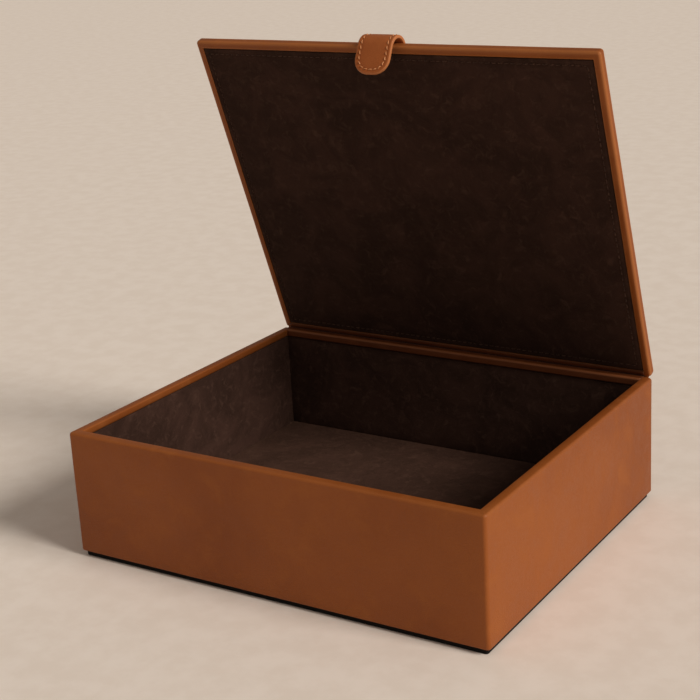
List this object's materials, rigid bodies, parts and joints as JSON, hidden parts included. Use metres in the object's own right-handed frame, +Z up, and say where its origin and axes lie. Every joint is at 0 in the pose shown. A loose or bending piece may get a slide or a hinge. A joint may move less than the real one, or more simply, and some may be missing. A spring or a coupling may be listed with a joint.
{
  "type": "stationery box",
  "caption": "Rectangular leather-covered box for papers with a suede lining, a hinged lid standing open and a stitched pull tab.",
  "frame": {"origin": "centre of the base's underside", "axes": "+X to the right along the front, +Y towards the hinge, +Z up"},
  "size_m": [0.32, 0.2658, 0.3437],
  "materials": {
    "hide": "satin",
    "hide_dark": "satin",
    "suede": "matte",
    "board": "matte",
    "base": "matte",
    "thread_light": "satin",
    "thread_dark": "satin"
  },
  "bodies": {
    "box": {"base_panel": "base", "bottom_board": "board", "front_board": "board", "back_board": "board", "left_board": "board", "right_board": "board", "wall_leather": "hide", "floor_lining": "suede", "front_lining": "suede", "back_lining": "suede", "left_lining": "suede", "right_lining": "suede", "spine_lower": "hide", "hinge_liner_lower": "hide_dark"},
    "lid": {"lid_board": "board", "lid_leather": "hide", "lid_lining": "suede", "lid_thread": "thread_dark", "spine_upper": "hide", "hinge_liner_upper": "hide_dark", "tab_tail_outer": "hide", "tab_tail_lining": "hide_dark", "tab_tail_thread": "thread_light"},
    "tab": {"tab_flap_outer": "hide", "tab_flap_lining": "hide_dark", "tab_thread": "thread_light"}
  },
  "joints": [
    {"name": "lid_hinge", "type": "hinge", "parent": "box", "child": "lid", "pos_m": [0, 0.1294, 0.0923], "axis": [-1, 0, 0], "range_deg": [-70, 40]},
    {"name": "tab_fold", "type": "hinge", "parent": "lid", "child": "tab", "pos_m": [0, 0.04095, 0.33296], "axis": [1, 0, 0], "range_deg": [-45, 25.72]}
  ],
  "couplings": [
    {"joint": "tab_fold", "follows": "lid_hinge", "ratio": 0.64286}
  ]
}
